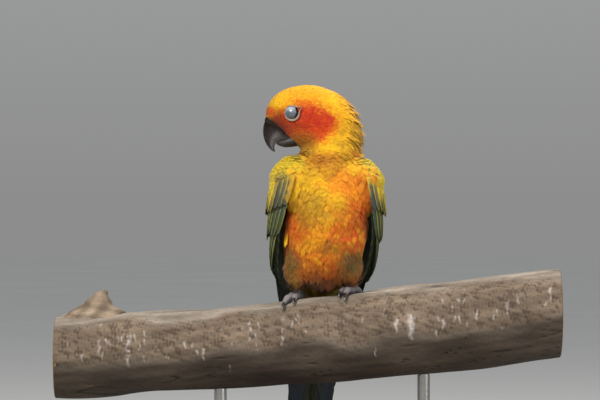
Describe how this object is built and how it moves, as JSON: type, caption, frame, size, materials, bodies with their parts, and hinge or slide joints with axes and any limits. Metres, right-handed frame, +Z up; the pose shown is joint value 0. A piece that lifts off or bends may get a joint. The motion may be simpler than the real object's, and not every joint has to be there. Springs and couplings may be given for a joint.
{
  "type": "sun conure",
  "caption": "Life-size museum model of a sun conure asleep on a cut length of branch, head turned in profile, on a plain display stand.",
  "frame": {"origin": "middle of the stand base's underside", "axes": "+Z up; the bird faces -Y; +X to the bird's left, along the branch; the head is turned to -X"},
  "size_m": [0.318, 0.148, 0.271],
  "materials": {
    "breast_plumage": "matt feathers, golden yellow mottled with orange",
    "neck_plumage": "matt feathers, golden yellow",
    "head_plumage": "matt feathers, yellow with a red-orange mask",
    "cere_skin": "bare grey skin",
    "bill": "dark horn, faintly glossy",
    "eye": "wet dark eye",
    "eyelid_skin": "bare pale skin",
    "thigh_plumage": "matt feathers, olive and orange",
    "wing_plumage": "feathers, yellow above and green to blue-black below",
    "tail_plumage": "feathers, olive above and dark grey below",
    "foot_skin": "dry scaly grey skin",
    "claw": "dark horn",
    "branch_wood": "weathered, rough",
    "stand_wood": "dark stained, satin",
    "rod_steel": "brushed"
  },
  "bodies": {
    "root": {"torso": "breast_plumage", "neck": "neck_plumage", "head": "head_plumage", "cere": "cere_skin", "upper_bill": "bill", "lower_bill": "bill", "left_eye": "eye", "right_eye": "eye", "left_eyelids": "eyelid_skin", "right_eyelids": "eyelid_skin", "left_thigh": "thigh_plumage", "right_thigh": "thigh_plumage", "left_wing": "wing_plumage", "right_wing": "wing_plumage", "tail": "tail_plumage", "left_foot": "foot_skin", "right_foot": "foot_skin", "perch": "branch_wood", "stand_base": "stand_wood", "stand_rod_left": "rod_steel", "stand_rod_right": "rod_steel", "left_claw_inner_front": "claw", "left_claw_outer_front": "claw", "left_claw_inner_rear": "claw", "left_claw_outer_rear": "claw", "right_claw_inner_front": "claw", "right_claw_outer_front": "claw", "right_claw_inner_rear": "claw", "right_claw_outer_rear": "claw"}
  },
  "joints": []
}
